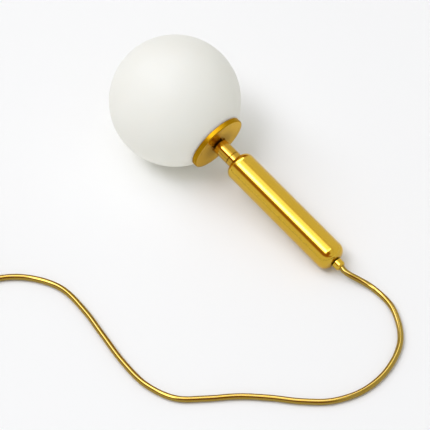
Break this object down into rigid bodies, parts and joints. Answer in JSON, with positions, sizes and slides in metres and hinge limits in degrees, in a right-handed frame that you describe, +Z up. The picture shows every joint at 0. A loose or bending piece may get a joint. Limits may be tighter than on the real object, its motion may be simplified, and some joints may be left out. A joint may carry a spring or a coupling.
{
  "type": "globe pendant lamp",
  "caption": "Pendant lamp: opal glass globe screwed to a brass plate and neck, a round-ended brass tube, and a gold cord to a cylindrical ceiling cup; laid on a table.",
  "frame": {"origin": "on the table, under the middle of the box round the lamp without its cord and ceiling cup", "axes": "+X along the lamp as it lies, from the globe towards the cord end of the tube; +Z up from the table; +Y to the left when looking along +X"},
  "size_m": [0.589, 0.47, 0.15],
  "materials": {
    "opal_glass": "matt opal",
    "polished_brass": "polished, lacquered",
    "satin_brass": "satin, turned",
    "zinc_steel": "zinc plated",
    "spring_bronze": "bright",
    "steatite": "unglazed",
    "frosted_glass": "frosted",
    "nylon": "moulded",
    "silicone": "matt",
    "wire_insulation": "smooth",
    "earth_insulation": "smooth",
    "gold_sheath": "gloss, metallic gold"
  },
  "bodies": {
    "lamp": {"gallery_plate": "satin_brass", "globe_screw_cup": "zinc_steel", "threaded_stem": "zinc_steel", "stem_nut": "polished_brass", "holder_strap": "zinc_steel", "lamp_holder": "steatite", "holder_screws": "zinc_steel", "holder_contacts": "spring_bronze", "neck_sleeve": "polished_brass", "neck_collar": "polished_brass", "body_tube": "polished_brass", "body_end_plug": "polished_brass", "earth_lug": "zinc_steel", "stem_lock_nut": "zinc_steel", "lamp_leads": "wire_insulation", "earth_lead": "earth_insulation", "terminal_block": "nylon", "terminal_screws": "zinc_steel", "cord_cores": "wire_insulation", "cord_inner": "gold_sheath", "cord_grip": "polished_brass", "grip_collet": "nylon", "grip_nut": "polished_brass", "cord": "gold_sheath", "cord_coil": "gold_sheath", "cord_tail": "gold_sheath", "canopy_cup": "polished_brass", "canopy_grip": "polished_brass", "canopy_collet": "nylon", "canopy_grip_nut": "polished_brass", "canopy_cord_end": "gold_sheath", "canopy_cores": "wire_insulation", "canopy_terminal_block": "nylon", "canopy_terminal_screws": "zinc_steel", "ceiling_crossbar": "zinc_steel", "canopy_side_screws": "polished_brass"},
    "gasket": {"globe_gasket": "silicone"},
    "globe": {"glass_globe": "opal_glass"},
    "bulb": {"bulb_dome": "frosted_glass", "bulb_base": "steatite", "bulb_pins": "zinc_steel"}
  },
  "joints": [
    {"name": "globe_travel", "type": "slide", "parent": "lamp", "child": "gasket", "axis": [-0.9739, 0, 0.2272], "range_m": [0, 0.01]},
    {"name": "globe_turn", "type": "hinge", "parent": "gasket", "child": "globe", "pos_m": [-0.09664, 0, 0.075], "axis": [-0.9739, 0, 0.2272], "range_deg": [0, 900]},
    {"name": "bulb_pull", "type": "slide", "parent": "lamp", "child": "bulb", "axis": [-0.9739, 0, 0.2272], "range_m": [0, 0.013]}
  ],
  "couplings": [
    {"joint": "globe_travel", "follows": "globe_turn", "m_per_rad": 0.0006366}
  ]
}
